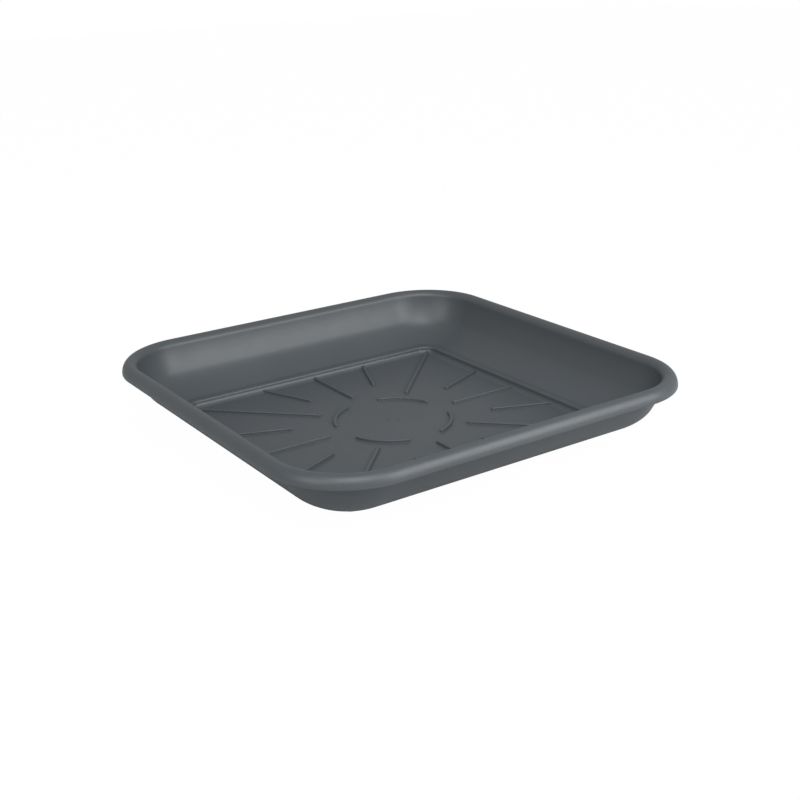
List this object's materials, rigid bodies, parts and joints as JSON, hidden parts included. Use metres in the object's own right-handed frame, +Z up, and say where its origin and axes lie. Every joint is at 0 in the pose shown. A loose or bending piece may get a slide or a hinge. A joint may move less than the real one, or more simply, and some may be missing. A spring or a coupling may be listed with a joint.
{
  "type": "square plant saucer",
  "caption": "Square plant saucer with rounded corners: a recessed floor with raised radial ribs, a stepped, flaring side and a rolled rim turned down into a skirt.",
  "frame": {"origin": "centre of the flat underside of the foot, on the ground", "axes": "+Z up out of the tray, +X and +Y square to two neighbouring sides"},
  "size_m": [0.3, 0.3, 0.0429],
  "materials": {
    "floor_plate": "satin moulded anthracite",
    "side_wall": "satin moulded anthracite",
    "rolled_rim": "satin moulded anthracite"
  },
  "bodies": {
    "root": {"floor_plate": "floor_plate", "side_wall": "side_wall", "rolled_rim": "rolled_rim"}
  },
  "joints": []
}
